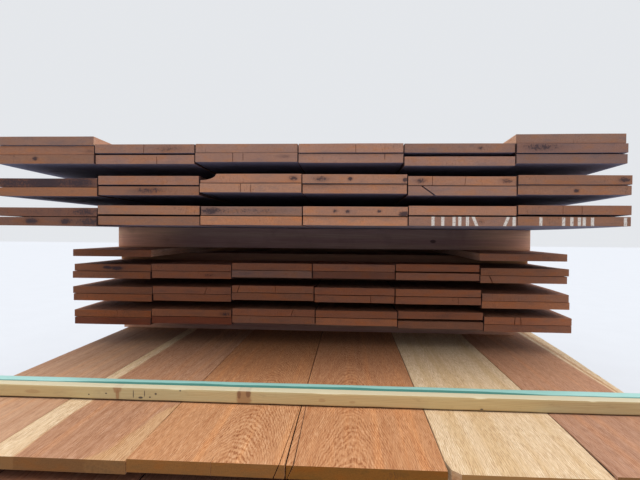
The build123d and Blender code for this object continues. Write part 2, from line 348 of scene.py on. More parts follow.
def columns(width, arris, count, splits, extra):
    """Distances across a board: the arrises, an even run between them, and three columns for each split."""
    even = np.linspace(arris, width - arris, count)
    for crack in splits:
        even = even[np.abs(even - crack["at"]) > crack["gap"]]
    crowd = [crack["at"] + side * crack["gap"] / 2 for crack in splits for side in (-1, 0, 1)]
    return np.unique(np.round(np.concatenate(([0, width], even, crowd, extra)), PLACE_DIGITS))


def hat(across, at, width, reach=0.05):
    """One at a split, falling evenly to nothing at the board's edge or at the given reach."""
    left, right = max(0.0, at - reach), min(width, at + reach)
    return np.interp(across, (left, at, right), (0, 1, 0))


def natural_edge(board, across, along, rng):
    """How far a board is drawn outwards, and how much thinner it is, beyond the crest of its natural edge.

    The columns are stretched evenly out to the edge's own line, which wavers, and bulges where it flares. The
    thickness falls off towards the rim, with a shallow groove of changing depth along the strip.
    """
    width = board["right"] - board["left"]
    bulge, waver, wane, groove = 11 * MM, 1.2 * MM, 8 * MM, 1.6 * MM
    beyond = np.clip((across - width) / NATURAL_EDGE + 1, 0, 1)
    reach = np.interp(board["front"] + along, *board["edge"]) - board["right"]
    reach = reach + bulge * np.clip((reach + NATURAL_EDGE) / (30 * MM), 0, 1)
    outward = (reach + waver * (drift(along, rng, 1, (1.3, 3.1, 7.7)) - 1)) * beyond
    middle = np.exp(-((beyond - 0.42) / 0.13) ** 2)
    thinner = wane * beyond ** 1.3 + groove * middle * (1 + drift(along, rng, 0.5, (0.9, 2.3)))
    return outward, thinner


def board_skin(board, rng, settings, looks):
    """The skin of one board: a box of lattice points, bent and worn, with the layers that its material reads.

    Height is the underside plus the share of the local thickness. The local thickness is the sawn one less
    wane and scoops. Past the bend line the free front end springs up with the square of its distance from the
    line. The sides stray inwards by slow waves, and the ends are cut slightly out of square. A split moves
    one column of points into the wood: at the end face backwards, and on the upper face downwards, fading
    along its run. The stain-and-shade mark adds up painted shade on sides that stand against a neighbour and
    in splits, and real stains as blots, which are e to the minus square of the distance. The scoop is a
    quarter of an oval that fades along the board, and a chip moves the end backwards. Past the far run the
    face tint goes over to the far one, a painted shade on most boards and a painted light on one.
    """
    width, thick = board["right"] - board["left"], board["thick"]
    length = board["rear"] - board["front"]
    splits = looks.get("splits", ())
    arris = settings.arris
    across_steps = columns(width, arris, looks["columns"], splits, looks.get("extra", ()))
    along_steps = stations(length, looks["stations"], looks["dense"])
    depth_steps = np.concatenate(([0, arris / thick], np.linspace(0, 1, looks["rows"])[1:-1],
                                  [1 - arris / thick, 1]))
    (i, j, k), quads = lattice((len(across_steps), len(along_steps), len(depth_steps)))
    across, along, depth = across_steps[i], along_steps[j], depth_steps[k]
    side, end, face = inward(i, len(across_steps)), inward(j, len(along_steps)), inward(k, len(depth_steps))
    at_face = face != 0

    ease = 0.3 * arris
    x = across + ease * side * at_face
    y = along + 0.3 * ease * end * ((side != 0) | at_face)
    lower = FACE_WAVE * (1 + drift(along / length + across, rng, 1, (1.3, 2.9)))
    local = thick - lower - FACE_WAVE * (1 + drift(along / length - across, rng, 1, (1.7, 3.1)))

    wander = settings.edge_wander * looks.get("wander", 1.0)
    stray = 0.5 * (1 + drift(along / length, rng, 1, (1.1, 2.7, 6.3))) * wander - looks.get("swell", 0)
    x += stray * (1 - 2 * across / width)
    skew = settings.end_skew * rng.random(2)
    lean = rng.random(2) > 0.5
    y += skew[0] * np.abs(lean[0] - across / width) * fading(along, SKEW_RUN)
    y -= skew[1] * np.abs(lean[1] - across / width) * fading(length - along, SKEW_RUN)

    fresh = np.zeros_like(x)
    if "edge" in board:
        outward, thinner = natural_edge(board, across, along, rng)
        x += outward
        local -= thinner
    if "scoop" in looks:
        scoop = looks["scoop"]
        fade = fading(along, scoop["run"])
        reach = scoop["width"] * (0.25 + 0.75 * fade)
        local -= scoop["depth"] * fade * np.sqrt(np.clip(1 - (across / reach) ** 2, 0, 1))
    if "chip" in looks:
        broken = np.interp(across, *looks["chip"])
        y += broken * (0.62 + 0.38 * depth) * fading(along, CHIP_RUN)
        fresh = (broken > 0.5 * MM) * end

    # Painted shade: sides that stand against a neighbour are darkened over the middle of their thickness, for
    # the shade in the joints; the columns of splits are darkened too, for the shade in the cracks. Blots are
    # real stains.
    left_joint, right_joint = looks["joints"]
    shaded_joint_sides = ((side > 0) & left_joint) | ((side < 0) & right_joint)
    deep, start = looks.get("joint", (0.5, -1))
    stain_and_shade = np.where(shaded_joint_sides & (np.abs(depth - 0.5) < deep) & (along > start), 0.8, 0)
    for crack in splits:
        fade = fading(along, crack["run"])
        shift = crack["slant"] * (depth - 0.5) + crack["drift"] * (1 - fade)
        x += shift * hat(across, crack["at"], width)
        column = i == np.searchsorted(across_steps, round(crack["at"], PLACE_DIGITS))
        opened = column & (depth >= crack["low"]) & (depth <= crack["high"])
        y += np.where(opened & (j < len(along_steps) - 1), crack["depth"] * fade, 0)
        local -= np.where(opened & at_face & (depth > 0.5), fade, 0) * crack["groove"]
        stain_and_shade += np.where(opened & (fade > 0), 0.9, 0)
    for spot in looks.get("blots", ()):
        (at_x, at_z), (reach_x, reach_z) = spot["at"], spot["size"]
        stain_and_shade += spot["dark"] * np.exp(
            -((across / width - at_x) * width / reach_x) ** 2
            - ((depth - at_z) * thick / reach_z) ** 2) * fading(along, BLOT_RUN)

    free = fading(along, board["bend"] - board["front"])
    z = board["under"] + lower + local * depth + board["lift"] * free ** 2

    sap = looks["sap"](across / width, along) if "sap" in looks else np.zeros_like(x)
    pith_x, pith_z = looks["pith"]
    count = len(x)
    # Painted shade and light: past the far run the face tint goes over to the far one, darker on three boards
    # of the top course and lighter on the last, for how the groups above shade the faces further in.
    shaded = 1 + np.clip(along / FAR_SHADE_RUN - 1, 0, 1)[:, None] * (np.array(looks.get("far", (1, 1, 1))) - 1)
    return {
        "points": np.stack((board["left"] + x, board["front"] + y, z), axis=-1),
        "quads": quads,
        "log": np.stack((across - pith_x * width, along + looks["shift"], depth * thick + pith_z), axis=-1),
        "face_tint": np.column_stack((looks["face"] * shaded, np.ones(count))),
        "end_tint": np.tile((*looks["end"], 1.0), (count, 1)),
        "marks": np.stack((sap, np.clip(stain_and_shade, 0, 1), fresh), axis=-1),
        "growth": np.tile(looks["growth"], (count, 1)),
    }


# Materials


class Shade:
    """Short ways to add and join shader nodes in one material or world."""

    def __init__(self, owner):
        self.owner = owner
        owner.use_nodes = True
        self.tree = owner.node_tree
        self.tree.nodes.clear()

    def node(self, kind, settings=None, **inputs):
        """One node with its settings and inputs, by name or as i and a number, joined or as plain values."""
        made = self.tree.nodes.new(kind)
        for key, value in (settings or {}).items():
            setattr(made, key, value)
        for key, value in inputs.items():
            numbered = key[0] == "i" and key[1:].isdigit()
            socket = made.inputs[int(key[1:]) if numbered else key.replace("_", " ")]
            if isinstance(value, bpy.types.NodeSocket):
                self.tree.links.new(value, socket)
            else:
                socket.default_value = value
        return made

    def maths(self, operation, a, b=0.0, c=0.0):
        """A Math node."""
        return self.node("ShaderNodeMath", {"operation": operation}, i0=a, i1=b, i2=c).outputs[0]

    def times(self, a, b):
        """One value times another."""
        return self.maths("MULTIPLY", a, b)

    def swing(self, value, reach, base):
        """A base value moved up and down by a noise round its middle."""
        return self.maths("MULTIPLY_ADD", self.maths("SUBTRACT", value, 0.5), reach, base)

    def attribute(self, name, output="Vector"):
        """A value stored on the mesh."""
        return self.node("ShaderNodeAttribute", {"attribute_name": name}).outputs[output]

    def parts(self, vector):
        """The three parts of a vector."""
        return tuple(self.node("ShaderNodeSeparateXYZ", Vector=vector).outputs)

    def normal(self):
        """The three parts of the true normal."""
        return self.parts(self.node("ShaderNodeNewGeometry").outputs["True Normal"])

    def place(self):
        """The place on the object."""
        return self.node("ShaderNodeTexCoord").outputs["Object"]

    def stretch(self, vector, scale):
        """A vector with each part scaled by itself."""
        return self.node("ShaderNodeVectorMath", {"operation": "MULTIPLY"}, i0=vector, i1=scale).outputs[0]

    def noise(self, vector, scale, detail=2.0, rough=0.5):
        """A noise between 0 and 1."""
        return self.node("ShaderNodeTexNoise", Vector=vector, Scale=scale, Detail=detail,
                         Roughness=rough).outputs[0]

    def grain(self, vector, scale, detail=2.0, rough=0.5):
        """A noise between 0 and 1 with a scale of its own along each part of the vector."""
        return self.noise(self.stretch(vector, scale), 1.0, detail, rough)

    def ramp(self, value, low, high, to_low=0.0, to_high=1.0):
        """A smooth step from one value to another."""
        made = self.node("ShaderNodeMapRange", {"interpolation_type": "SMOOTHSTEP"}, i0=value, i1=low,
                         i2=high, i3=to_low, i4=to_high)
        return made.outputs[0]

    def squarely(self, part, to_low=0.0, to_high=1.0):
        """Whether a face looks along an axis, forwards or backwards, from that part of its normal."""
        return self.ramp(self.maths("ABSOLUTE", part), *FACING, to_low, to_high)

    def spot(self, place, at, size, ragged):
        """One within an oval round a place, falling to nothing past its rim, with a ragged outline."""
        away = self.node("ShaderNodeVectorMath", {"operation": "SUBTRACT"}, i0=place, i1=at).outputs[0]
        away = self.stretch(away, tuple(1 / reach if reach else 0.0 for reach in size))
        away = self.node("ShaderNodeVectorMath", {"operation": "LENGTH"}, i0=away).outputs[1]
        return self.ramp(self.maths("MULTIPLY_ADD", ragged, 0.9, away), 1.15, 1.6, 1.0, 0.0)

    def mix(self, factor, a, b, blend="MIX"):
        """A mix of two colours, joined or given as red, green and blue."""
        a, b = (value if isinstance(value, bpy.types.NodeSocket) else (*value, 1.0) for value in (a, b))
        made = self.node("ShaderNodeMix", {"data_type": "RGBA", "blend_type": blend}, i0=factor, i6=a, i7=b)
        return made.outputs[2]

    def tinted(self, colour, *layers):
        """A colour multiplied by one tint after another, each in the share that its own value gives."""
        for share, tint in layers:
            colour = self.mix(share, colour, self.mix(1.0, colour, tint, "MULTIPLY"))
        return colour

    def finish(self, colour, roughness, height=None, relief=0.0, specular=0.3):
        """The surface shader, with bump where a height is given. Returns the finished material."""
        inputs = {"Base_Color": colour, "Roughness": roughness, "Specular_IOR_Level": specular}
        if height is not None:
            inputs["Normal"] = self.node("ShaderNodeBump", Height=height, Distance=relief,
                                         Strength=1.0).outputs[0]
        shader = self.node("ShaderNodeBsdfPrincipled", **inputs)
        self.node("ShaderNodeOutputMaterial", i0=shader.outputs[0])
        return self.owner


# Painted strokes: the place across in millimetres, and how far each leans for its height.
TALLIES = ((350, 0), (377, 0), (408, 0), (424, 0), (445, 0), (467, 0.4), (550, -0.4), (572, 0),
           (645, 0), (706, 0), (728, 0), (748, 0), (761, 0), (783, 0), (870, 0))


def strokes(shade, low, high):
    """Plain uprights of chalky paint, each at its own place in X and some of them leaning, ragged, 0 to 1."""
    half_width, outer, frayed, top_fade = 5.6 * MM, 7.0 * MM, 4 * MM, 2 * MM
    place = shade.place()
    ragged = shade.noise(place, 210.0, 3.0)
    across, _, up = shade.parts(place)
    paint = 0.0
    for at, lean in TALLIES:
        leaning = shade.maths("MULTIPLY_ADD", up, -lean, at * MM + lean * (low + high) / 2)
        away = shade.maths("ABSOLUTE", shade.maths("SUBTRACT", across, leaning))
        away = shade.maths("MULTIPLY_ADD", ragged, frayed, away)
        paint = shade.maths("MAXIMUM", shade.ramp(away, half_width, outer, 1.0, 0.0), paint)
    tall = shade.times(shade.ramp(up, low, low + top_fade), shade.ramp(up, high - top_fade, high, 1.0, 0.0))
    return shade.times(shade.times(paint, tall), shade.ramp(ragged, 0.30, 0.5, 0.35, 1.0))


def hardwood(name, settings, painted=None):
    """Sawn hardwood: growth figure and pores on faces, checks and scratches on ends, sapwood, stains, painted
    shade.

    The distance from the pith in log coordinates, raked along the log and pushed about by noise, gives the
    figure: arrow-shaped lines where the pith lies close under the face, and straight ones where it lies far
    off. Noise stretched along the grain gives pores. Sapwood, stains with painted shade in joints and splits,
    and fresh breaks come from the marks on the mesh. Faces that look down get a painted shade.
    """
    shade = Shade(bpy.data.materials.new(name))
    log = shade.attribute("log")
    sap, stain_and_shade_share, fresh = shade.parts(shade.attribute("marks"))
    strength, rake, side_light = shade.parts(shade.attribute("growth"))
    normal_x, normal_y, normal_z = shade.normal()
    is_end, is_side = shade.squarely(normal_y), shade.squarely(normal_x)
    painted_under_shade = shade.ramp(normal_z, -0.8, -0.4, 1.0, 0.0)

    slow = shade.grain(log, (6.0, 1.3, 6.0))
    sway = shade.grain(log, (38.0, 9.0, 38.0))
    jag = shade.grain(log, (150.0, 60.0, 150.0), 3.0, 0.6)
    across, along, deep = shade.parts(log)
    round_pith = shade.maths("SQRT", shade.maths("ADD", shade.times(across, across), shade.times(deep, deep)))
    radius = shade.maths("ADD", round_pith, shade.times(along, rake))
    for push, far in ((slow, 22 * MM), (sway, 9 * MM), (jag, 5 * MM)):
        radius = shade.swing(push, far, radius)
    rings = shade.maths("SINE", shade.times(radius, 2 * math.pi / HARDWOOD_RING))
    band = shade.noise(shade.node("ShaderNodeCombineXYZ", X=radius, Y=0.0, Z=0.0).outputs[0], 75.0, 3.0)

    pores = shade.grain(log, (620.0, 26.0, 620.0), 2.0, 0.6)
    fibre = shade.grain(log, (190.0, 7.0, 190.0), 3.0, 0.6)
    fleck = shade.grain(log, (360.0, 42.0, 360.0), 2.0, 0.55)
    streak = shade.grain(log, (30.0, 0.7, 30.0), 4.0, 0.6)
    fuzz = shade.noise(log, 420.0, 3.0, 0.65)
    patch = shade.noise(log, 9.0, 3.0)

    strong = shade.times(shade.ramp(sway, 0.32, 0.62, 0.45, 1.0), strength)
    dark_line = shade.times(shade.times(shade.ramp(rings, 0.0, 0.9), strong),
                            shade.ramp(fleck, 0.38, 0.6, 1.0, 0.15))
    pale_line = shade.times(shade.times(shade.ramp(rings, -0.95, -0.2, 1.0, 0.0), strong),
                            shade.ramp(fleck, 0.42, 0.6, 0.1, 1.0))
    colour = shade.tinted(
        shade.attribute("face_tint", "Color"),
        (shade.ramp(streak, 0.48, 0.68, 0.0, 0.8), (1.16, 1.08, 0.96)),
        (shade.ramp(streak, 0.32, 0.48, 0.8, 0.0), (0.88, 0.80, 0.74)),
        (shade.ramp(band, 0.42, 0.62, 0.0, 0.42), (0.80, 0.70, 0.64)),
        (shade.times(is_side, side_light), (1.85, 2.5, 3.0)),
    )
    sap_edge = shade.swing(fibre, 0.45, sap)
    pale = shade.mix(shade.ramp(sap, 0.6, 0.85), settings.transition, settings.sapwood)
    pale = shade.tinted(pale, (shade.ramp(streak, 0.42, 0.66, 0.0, 0.7), (0.86, 0.78, 0.64)))
    colour = shade.tinted(
        shade.mix(shade.ramp(sap_edge, 0.2, 0.45), colour, pale),
        (dark_line, (0.60, 0.46, 0.38)),
        (shade.times(pale_line, 0.8), (1.24, 1.44, 1.70)),
        (shade.ramp(fleck, 0.57, 0.70, 0.0, 0.45), (1.16, 1.26, 1.38)),
        (shade.ramp(pores, 0.36, 0.5, 0.5, 0.0), (0.60, 0.50, 0.44)),
        (shade.ramp(fuzz, 0.58, 0.78, 0.0, 0.35), (1.3, 1.3, 1.3)),
    )
    # Painted shade: faces that look down are mixed most of the way over to the undersides' dark blue-grey.
    colour = shade.mix(shade.times(painted_under_shade, 0.85), colour, settings.under)

    end = shade.attribute("end_tint", "Color")
    cut = shade.grain(log, (120.0, 1.0, 900.0), 3.0, 0.6)
    grit = shade.grain(log, (420.0, 30.0, 420.0), 3.0, 0.7)
    check = shade.grain(log, (150.0, 1.0, 22.0), 3.0, 0.55)
    hair = shade.ramp(shade.maths("ABSOLUTE", shade.maths("SUBTRACT", check, 0.5)), 0.0, 0.012, 1.0, 0.0)
    hair = shade.times(hair, shade.ramp(patch, 0.52, 0.64))
    tone = shade.grain(log, (17.0, 1.0, 48.0), 4.0, 0.6)
    ends = shade.tinted(
        end,
        (shade.ramp(cut, 0.3, 0.7, 0.0, 0.45), (0.74, 0.72, 0.70)),
        (shade.ramp(patch, 0.35, 0.7, 0.0, 0.45), (1.22, 1.2, 1.14)),
        (shade.ramp(tone, 0.5, 0.68, 0.0, 0.8), (1.14, 0.98, 0.76)),
        (shade.ramp(tone, 0.32, 0.48, 0.8, 0.0), (0.80, 0.90, 1.04)),
        (shade.ramp(grit, 0.52, 0.68, 0.0, 0.5), (0.58, 0.55, 0.58)),
        (shade.ramp(grit, 0.34, 0.46, 0.4, 0.0), (1.32, 1.36, 1.4)),
    )
    sap_end = shade.mix(1.0, end, (1.45, 1.6, 1.7), "MULTIPLY")
    ends = shade.mix(shade.times(shade.ramp(sap_edge, 0.35, 0.65), 0.5), ends, sap_end)
    ends = shade.mix(shade.times(hair, 0.7), ends, (0.045, 0.018, 0.012))

    colour = shade.mix(is_end, colour, ends)
    # Stains and painted shade: the stain-and-shade mark tints the wood darker and then speckles it near
    # black, with real stains where blots lie and painted shade in joints and splits.
    colour = shade.tinted(colour, (shade.ramp(stain_and_shade_share, 0.05, 0.75, 0.0, 0.7), (0.50, 0.48, 0.54)))
    speckle = shade.noise(log, 190.0, 5.0, 0.75)
    soil_and_shade = shade.ramp(shade.swing(speckle, 3.0, shade.times(stain_and_shade_share, 2.2)), 0.92, 1.35)
    colour = shade.mix(shade.times(soil_and_shade, 0.8), colour, (0.036, 0.027, 0.032))
    torn = shade.mix(shade.ramp(fibre, 0.35, 0.65), (0.60, 0.33, 0.16), (0.42, 0.20, 0.09))
    colour = shade.mix(shade.times(fresh, is_end), colour, torn)
    if painted:
        low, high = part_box(painted)
        paint = strokes(shade, low.z + 1 * MM, high.z - 1 * MM)
        colour = shade.mix(shade.times(shade.times(paint, is_end), 0.85), colour, (0.78, 0.72, 0.62))
    height = shade.maths("ADD", shade.times(fuzz, 0.6), shade.times(pores, 0.9))
    rough = shade.maths("MULTIPLY_ADD", fuzz, 0.12, 0.68)
    return shade.finish(colour, rough, height, 0.6 * MM, specular=0.15)


def timber(name, tint, dark, knots=()):
    """Squared timber: streaks and fibres along X, blotches, painted light on the flanks near both ends, dark
    knots.
    """
    shade = Shade(bpy.data.materials.new(name))
    place = shade.place()
    streak = shade.grain(place, (0.8, 34.0, 34.0), 3.0)
    fibre = shade.grain(place, (9.0, 260.0, 260.0), 3.0, 0.6)
    pores = shade.grain(place, (26.0, 620.0, 620.0), 2.0, 0.6)
    cloud = shade.noise(place, 11.0, 3.0)
    across = shade.parts(place)[0]
    # Painted light: the long faces are made paler near both ends, for the sky light that reaches them there
    # from the sides.
    painted_end_light = shade.times(shade.ramp(shade.maths("ABSOLUTE", across), 0.55, 0.80),
                           shade.squarely(shade.normal()[0], 1.0, 0.0))
    colour = shade.tinted(
        shade.mix(shade.ramp(streak, 0.35, 0.65), tint,
                  (tint[0] * dark, tint[1] * dark * 0.9, tint[2] * dark)),
        (shade.ramp(fibre, 0.35, 0.7, 0.45, 0.0), (0.66, 0.58, 0.56)),
        (shade.ramp(cloud, 0.55, 0.75, 0.0, 0.4), (0.62, 0.58, 0.62)),
        (painted_end_light, (1.75, 1.68, 1.32)),
    )
    for at, size in knots:
        colour = shade.mix(shade.times(shade.spot(place, at, size, fibre), 0.8), colour,
                           (tint[0] * 0.16, tint[1] * 0.12, tint[2] * 0.12))
    height = shade.maths("ADD", fibre, pores)
    return shade.finish(colour, shade.maths("MULTIPLY_ADD", fibre, 0.15, 0.65), height, 0.4 * MM)


# Knots, resin and specks in a batten's front: place in X and Z from its own underside, half axes, and kind.
PINE_SPOTS = (
    ((-0.142, 0, 0.018), (0.019, 0, 0.030), "heart"), ((-0.154, 0, 0.026), (0.005, 0, 0.012), "rim"),
    ((-0.131, 0, 0.027), (0.007, 0, 0.010), "rim"), ((-0.467, 0, 0.030), (0.012, 0, 0.011), "heart"),
    ((-0.466, 0, 0.014), (0.005, 0, 0.016), "heart"), ((-0.691, 0, 0.017), (0.022, 0, 0.006), "faint"),
    ((-0.541, 0, 0.014), (0.002, 0, 0.002), "speck"), ((-0.496, 0, 0.018), (0.0026, 0, 0.002), "speck"),
    ((-0.425, 0, 0.017), (0.0012, 0, 0.012), "speck"), ((-0.406, 0, 0.009), (0.0065, 0, 0.0038), "speck"),
    ((-0.396, 0, 0.020), (0.0012, 0, 0.010), "speck"), ((-0.382, 0, 0.011), (0.003, 0, 0.0026), "speck"),
    ((-0.367, 0, 0.020), (0.003, 0, 0.0026), "speck"), ((-0.304, 0, 0.030), (0.0026, 0, 0.002), "speck"),
    ((0.053, 0, 0.016), (0.009, 0, 0.005), "faint"), ((0.128, 0, 0.014), (0.008, 0, 0.004), "faint"),
    ((0.44, 0, 0.004), (0.004, 0, 0.003), "speck"),
)


def pine(name, settings):
    """Sawn pine: fine lengthwise grain that swings round the knots, brown knots and black specks.

    It is darker to the right, with a painted highlight on its top and a painted contact shadow along the foot
    that is weaker to the right.
    """
    shade = Shade(bpy.data.materials.new(name))
    place = shade.attribute("log")
    around = shade.parts(shade.attribute("marks"))[0]
    normal_z = shade.normal()[2]
    bend = shade.grain(place, (2.2, 20.0, 20.0))
    along, _, up = shade.parts(place)
    sway = shade.maths("ADD", shade.maths("MULTIPLY_ADD", bend, 0.02, up), around)
    rings = shade.maths("SINE", shade.times(sway, 2 * math.pi / PINE_RING))
    fibre = shade.grain(place, (12.0, 420.0, 420.0), 3.0, 0.6)
    cloud = shade.grain(place, (3.0, 16.0, 16.0), 3.0)
    grime = shade.grain(place, (22.0, 60.0, 60.0), 4.0, 0.65)
    base = settings.pine
    colour = shade.tinted(
        shade.mix(shade.ramp(cloud, 0.35, 0.65), base, shade.mix(1.0, base, (1.05, 0.95, 0.86), "MULTIPLY")),
        (shade.ramp(along, 0.25, 0.75, 0.0, 0.6), (0.78, 0.74, 0.76)),
        (shade.ramp(rings, -0.3, 0.9, 0.0, 0.34), (0.74, 0.62, 0.48)),
        (shade.ramp(fibre, 0.35, 0.7, 0.3, 0.0), (0.74, 0.68, 0.60)),
        (shade.ramp(grime, 0.56, 0.72, 0.0, 0.35), (0.66, 0.60, 0.58)),
    )
    tones = {
        "rim": (settings.knot, 0.7), "heart": ((0.32, 0.165, 0.07), 0.8),
        "faint": ((0.40, 0.25, 0.11), 0.6), "speck": ((0.03, 0.025, 0.03), 0.85),
    }
    for at, size, kind in PINE_SPOTS:
        tone, share = tones[kind]
        colour = shade.mix(shade.times(shade.spot(place, at, size, grime), share), colour, tone)
    # Painted highlight: faces that look up are mixed over to the pale top colour.
    colour = shade.mix(shade.ramp(normal_z, 0.6, 0.9, 0.0, 0.7), colour, settings.pine_top_painted_light)
    # Painted contact shadow: the lowest few millimetres are darkened, more to the left than the right, for
    # the shade where the batten rests on the boards.
    painted_contact_shadow = shade.times(shade.ramp(up, 0.6 * MM, 2.6 * MM, 1.0, 0.0), shade.ramp(along, 0.0, 0.6, 0.75, 0.35))
    colour = shade.mix(painted_contact_shadow, colour, (0.05, 0.03, 0.022))
    return shade.finish(colour, shade.maths("MULTIPLY_ADD", fibre, 0.15, 0.6), fibre, 0.4 * MM)


def strap_plastic(name, settings):
    """Polyester band: teal, with a painted sheen that pales its rear half and both ends, a weave-like grain
    and gloss.
    """
    shade = Shade(bpy.data.materials.new(name))
    rearward = shade.parts(shade.attribute("marks"))[0]
    log = shade.attribute("log")
    across = shade.parts(shade.place())[0]
    slow = shade.grain(log, (6.0, 60.0, 1.0), 3.0)
    fine = shade.grain(log, (150.0, 900.0, 1.0))
    # Painted sheen: the share rises towards the rear edge, and towards both ends past the pack's top, where
    # the band turns pale.
    half = shade.swing(slow, 0.5, rearward)
    half = shade.maths("ADD", half, shade.ramp(shade.maths("ABSOLUTE", across), 0.45, 0.62, 0.0, 0.30))
    colour = shade.mix(shade.ramp(half, 0.34, 0.50), settings.deep, settings.pale)
    colour = shade.tinted(colour, (shade.ramp(fine, 0.4, 0.7, 0.0, 0.25), (0.76, 0.80, 0.82)))
    return shade.finish(colour, shade.maths("MULTIPLY_ADD", fine, 0.2, 0.28), fine, 0.15 * MM, specular=0.5)


# Looks of the single boards


def split(at, slant=0.0, depth=10, run=60, gap=1.6, drift_by=0.0, low=0.0, high=1.0, groove=3.0):
    """A drying split, in millimetres from the board's left side, from low to high through its thickness."""
    return {
        "at": at * MM, "slant": slant * MM, "depth": depth * MM, "run": run * MM, "gap": gap * MM,
        "drift": drift_by * MM, "low": low, "high": high, "groove": groove * MM,
    }


def blot(across, up, wide, tall, dark):
    """A stain on a board's front end: place as shares of the width and thickness, size in millimetres."""
    return {"at": (across, up), "size": (wide * MM, tall * MM), "dark": dark}


FLAWS = {
    "upper_layer_3_upper_boards": {
        0: (blot(0.95, 0.35, 24, 12, 0.45),),
        1: (split(146, slant=2), blot(0.74, 0.45, 66, 16, 0.46)),
        3: (split(163, depth=6, gap=1.2),),
        4: (blot(0.69, 0.5, 10, 6, 0.75),),
        5: (blot(0.22, 0.6, 80, 18, 0.56),),
    },
    "upper_layer_3_lower_boards": {
        0: (blot(0.39, 0.6, 9, 7, 0.95),),
        1: (split(184, high=0.8),),
        2: (split(110), split(140, low=0.3), blot(0.87, 0.62, 30, 7, 0.52)),
        3: (split(245, low=0.5),),
    },
    "upper_layer_2_upper_boards": {
        0: (blot(0.1, 0.5, 70, 30, 0.60), blot(0.48, 0.5, 60, 30, 0.72), blot(0.85, 0.5, 60, 30, 0.62)),
        2: (blot(0.92, 0.5, 18, 11, 0.66),),
        3: (blot(0.18, 0.5, 34, 12, 0.6), blot(0.46, 0.5, 8, 7, 0.95), blot(0.98, 0.4, 8, 8, 1.0)),
        4: (split(68, depth=6, gap=1.3), split(159, slant=3, depth=6, gap=1.3), blot(0.12, 0.5, 24, 11, 0.62),
            blot(0.91, 0.5, 26, 11, 0.62)),
        5: (blot(0.93, 0.5, 26, 12, 0.6),),
    },
    "upper_layer_2_lower_boards": {
        1: (blot(0.5, 0.55, 66, 14, 0.60),),
        2: (split(119), split(149, high=0.8)),
        4: (split(57, slant=-38, depth=18, gap=6.0, run=160),),
        5: (blot(0.52, 0.45, 9, 6, 0.95),),
    },
    "upper_layer_1_upper_boards": {
        0: (blot(0.45, 0.5, 230, 20, 0.40), blot(0.9, 0.5, 42, 16, 0.30)),
        2: (blot(0.5, 0.5, 240, 18, 0.42), blot(0.09, 0.5, 30, 16, 0.36)),
        3: (blot(0.31, 0.5, 7, 6, 0.9), blot(0.43, 0.45, 7, 6, 0.9), blot(0.73, 0.5, 7, 6, 0.9),
            blot(0.96, 0.2, 16, 9, 1.0)),
        5: (split(121, depth=6, gap=1.3), split(172, depth=7, gap=1.4)),
    },
    "upper_layer_1_lower_boards": {
        0: (blot(0.34, 0.55, 26, 12, 0.75), blot(0.68, 0.5, 18, 11, 0.7), blot(0.93, 0.5, 60, 18, 0.62)),
        4: (blot(0.67, 0.5, 12, 8, 0.5),),
    },
    "lower_layer_3_upper_boards": {
        0: (blot(0.42, 0.55, 14, 7, 0.9), blot(0.55, 0.45, 22, 9, 0.7), blot(0.7, 0.5, 70, 12, 0.35)),
    },
    "lower_layer_3_lower_boards": {
        1: (blot(0.72, 0.5, 28, 9, 0.55),),
        5: (split(38, slant=-12, depth=14, gap=3.4),),
    },
    "lower_layer_2_upper_boards": {
        1: (split(201, slant=9, gap=2.2),),
        2: (split(24, slant=9, gap=2.4), split(161)),
    },
    "lower_layer_2_lower_boards": {3: (split(205),), 4: (split(224),)},
    "lower_layer_1_upper_boards": {
        0: (split(165),),
        1: (blot(0.92, 0.4, 26, 11, 0.62),),
        2: (split(222, slant=10, gap=2.2),),
        4: (blot(0.5, 0.5, 210, 16, 0.36),),
        5: (split(107, slant=4, gap=2.4), split(128, slant=-4, gap=2.4)),
    },
    "lower_layer_1_lower_boards": {0: (blot(0.7, 0.5, 100, 10, 0.42),)},
}

TONES = {
    "plain": (1.0, 1.0, 1.0), "rosy": (1.10, 1.18, 1.24), "dull": (0.86, 0.93, 1.0),
    "dusky": (0.58, 0.54, 0.54), "faded": (0.70, 0.78, 0.92), "red": (0.62, 0.46, 0.42),
    "warm": (1.0, 0.94, 0.86), "brown": (0.86, 0.83, 0.78), "light": (1.17, 1.17, 1.12),
    "greyed": (1.0, 1.06, 1.14), "ashen": (0.97, 1.32, 1.75), "orange": (0.86, 0.74, 0.58),
    "dim": (0.74, 0.71, 0.66), "amber": (1.14, 1.02, 0.84), "bright": (1.38, 1.34, 1.20),
}
END_TONES = {
    "upper_side_boards": "dull dull",
    "upper_layer_3_upper_boards": "warm dull greyed rosy dull faded",
    "upper_layer_3_lower_boards": "brown greyed greyed greyed greyed faded",
    "upper_layer_2_upper_boards": "dusky plain light light light brown",
    "upper_layer_2_lower_boards": "orange brown light light greyed brown",
    "upper_layer_1_upper_boards": "dusky warm dull light light brown",
    "upper_layer_1_lower_boards": "dusky dim amber bright dull brown",
    "lower_side_boards": "dim rosy",
    "lower_layer_3_upper_boards": "brown plain plain greyed plain light",
    "lower_layer_3_lower_boards": "brown plain ashen faded greyed rosy",
    "lower_layer_2_upper_boards": "brown plain plain plain light rosy",
    "lower_layer_2_lower_boards": "orange brown plain plain plain bright",
    "lower_layer_1_upper_boards": "orange warm plain plain plain light",
    "lower_layer_1_lower_boards": "red red dull bright dull dull",
}


def jitter(tint, rng, reach):
    """A tint made a little lighter or darker, and a little redder or yellower."""
    light = 1 + reach * (2 * rng.random() - 1)
    warm = 0.35 * reach * (2 * rng.random() - 1)
    return (tint[0] * light * (1 + warm), tint[1] * light * (1 - warm * 0.4), tint[2] * light * (1 - warm))


def any_pith(rng):
    """Where the pith lies: somewhere across the board as a share of its width, and below it."""
    return (0.2 + 0.6 * rng.random(), 0.05 + 0.16 * rng.random())


